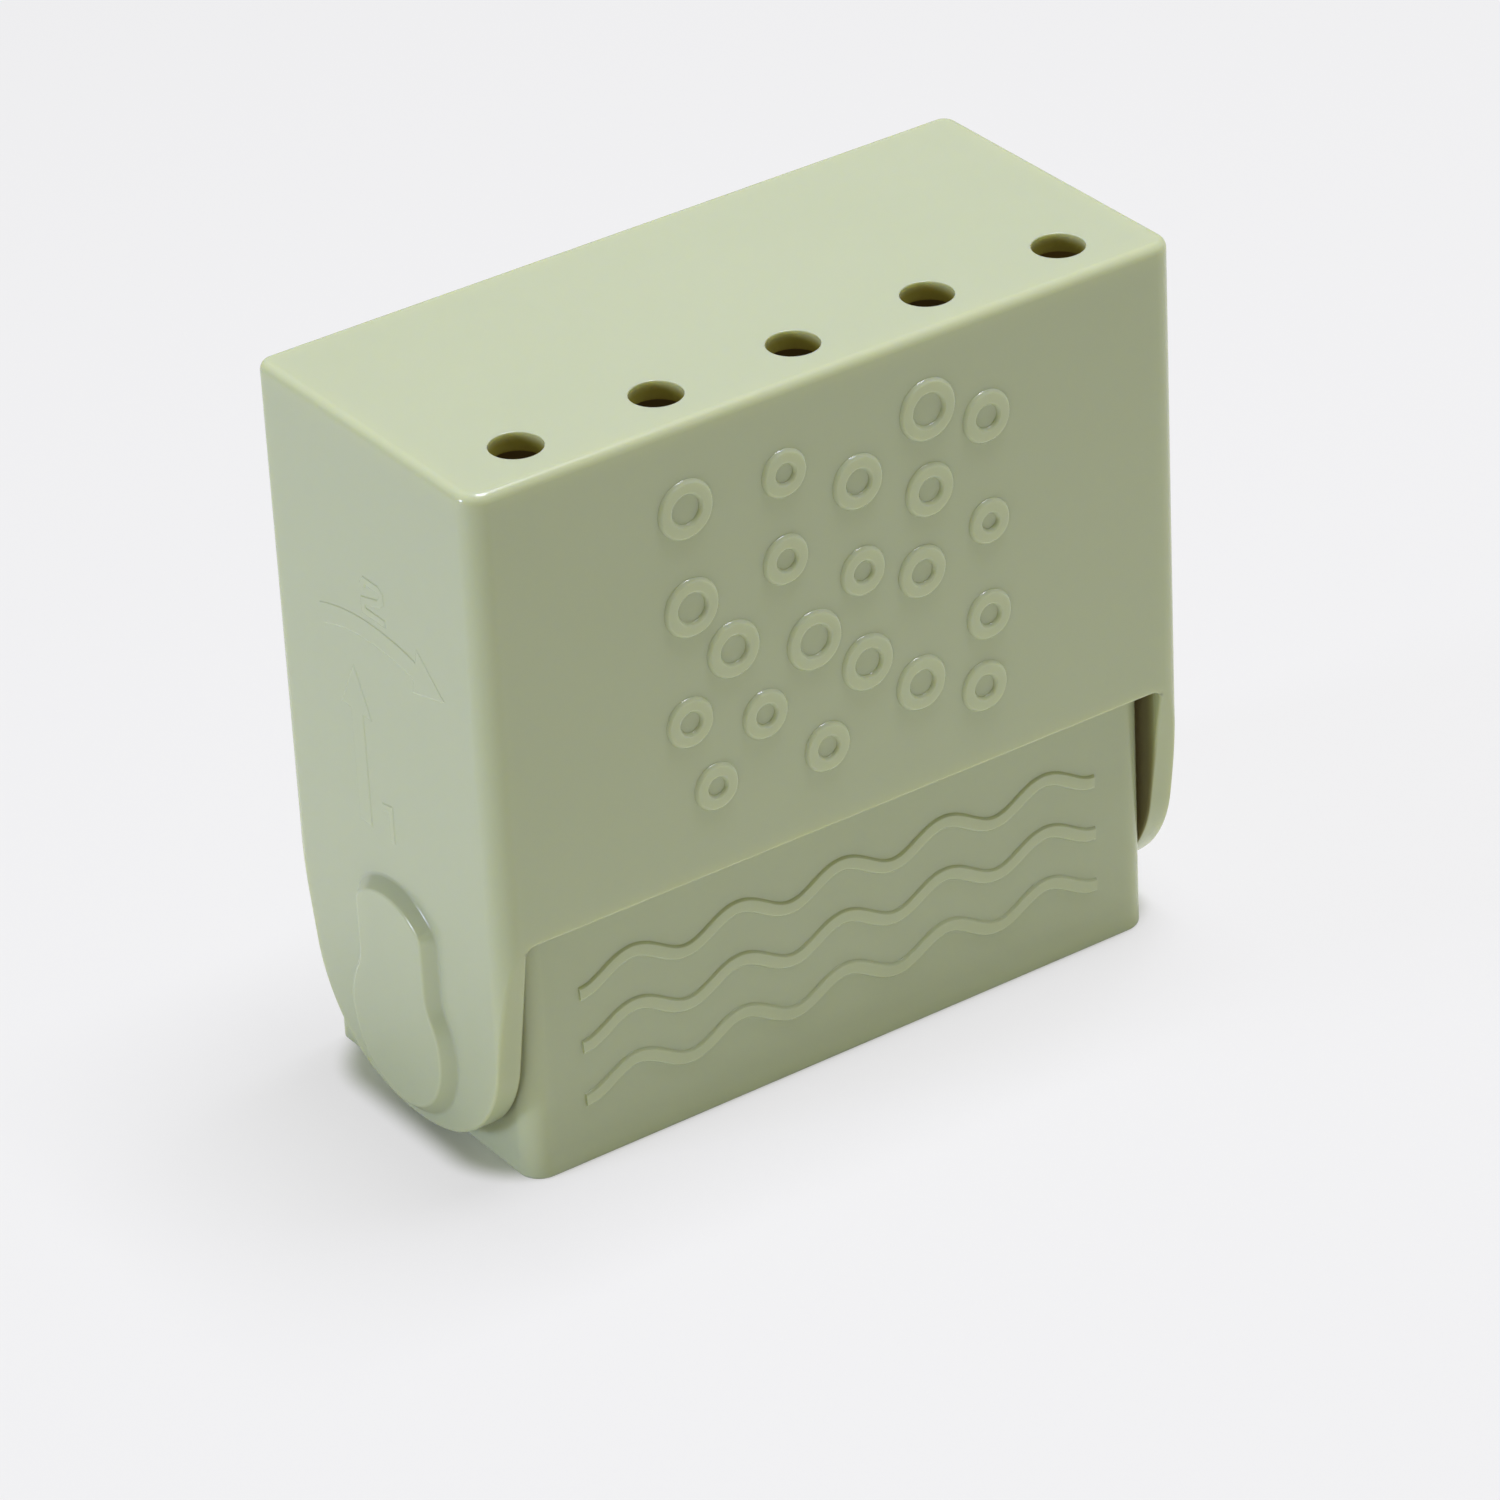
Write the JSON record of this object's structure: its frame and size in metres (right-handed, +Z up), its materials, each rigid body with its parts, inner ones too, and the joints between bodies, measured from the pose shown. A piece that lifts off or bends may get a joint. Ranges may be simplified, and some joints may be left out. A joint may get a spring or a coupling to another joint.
{
  "type": "soap box",
  "caption": "Upright travel soap box: hood cover with drain holes and round-ended ears over an open tray; the cover lifts on flat-sided pins in keyhole tracks.",
  "frame": {"origin": "on the floor, under the middle of the closed box", "axes": "+X along the long front face towards its right-hand ear, +Y from front to back, +Z up; the front face with the drain holes near it looks along -Y"},
  "size_m": [0.1032, 0.0452, 0.0949],
  "materials": {
    "tray_plastic": "satin sage green moulded plastic",
    "cover_plastic": "satin sage green moulded plastic"
  },
  "bodies": {
    "tray": {"inner_tray": "tray_plastic"},
    "cover": {"outer_cover": "cover_plastic"}
  },
  "joints": [
    {"name": "cover_lift", "type": "slide", "parent": "tray", "child": "cover", "axis": [0, 0, 1], "range_m": [0, 0.0094]}
  ]
}
